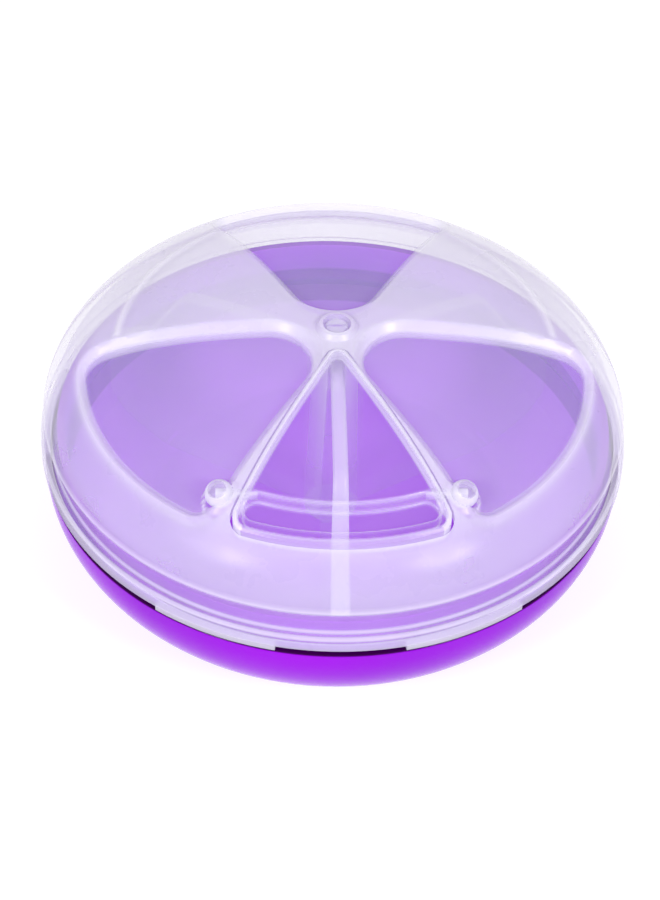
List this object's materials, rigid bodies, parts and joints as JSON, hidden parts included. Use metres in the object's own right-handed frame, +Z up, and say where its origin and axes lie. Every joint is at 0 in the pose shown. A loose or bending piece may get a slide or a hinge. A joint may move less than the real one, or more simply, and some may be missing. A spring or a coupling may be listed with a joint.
{
  "type": "pill case",
  "caption": "Round pocket pill case: glossy bowl with a star-shaped divider, frosted turning lid with petal windows and a rocking wedge-shaped dispensing door.",
  "frame": {"origin": "centre of the flat underside of the bowl", "axes": "+Z up along the axis that the lid turns about; -Y towards the closed door; +X to the right when the door is at the front"},
  "size_m": [0.086, 0.086, 0.0384],
  "materials": {
    "bowl_plastic": "glossy saturated purple, slightly translucent",
    "divider_plastic": "satin translucent natural polypropylene",
    "pin_plastic": "satin translucent natural polypropylene",
    "lid_plastic": "frosted translucent polypropylene with clearer petal windows",
    "door_plastic": "clear to slightly frosted polypropylene with a raised frame"
  },
  "bodies": {
    "case": {"base_bowl": "bowl_plastic", "divider_insert": "divider_plastic"},
    "pivot": {"hub_pin": "pin_plastic"},
    "lid": {"lid_shell": "lid_plastic"},
    "door": {"door_flap": "door_plastic"}
  },
  "joints": [
    {"name": "lid_lift", "type": "slide", "parent": "case", "child": "pivot", "axis": [0, 0, 1], "range_m": [0, 0.03]},
    {"name": "lid_turn", "type": "hinge", "parent": "pivot", "child": "lid", "pos_m": [0, 0, 0.0376], "axis": [0, 0, 1], "continuous": true},
    {"name": "door_flip", "type": "hinge", "parent": "lid", "child": "door", "pos_m": [0, -0.0288, 0.0333], "axis": [1, 0, 0], "range_deg": [0, 45]}
  ]
}
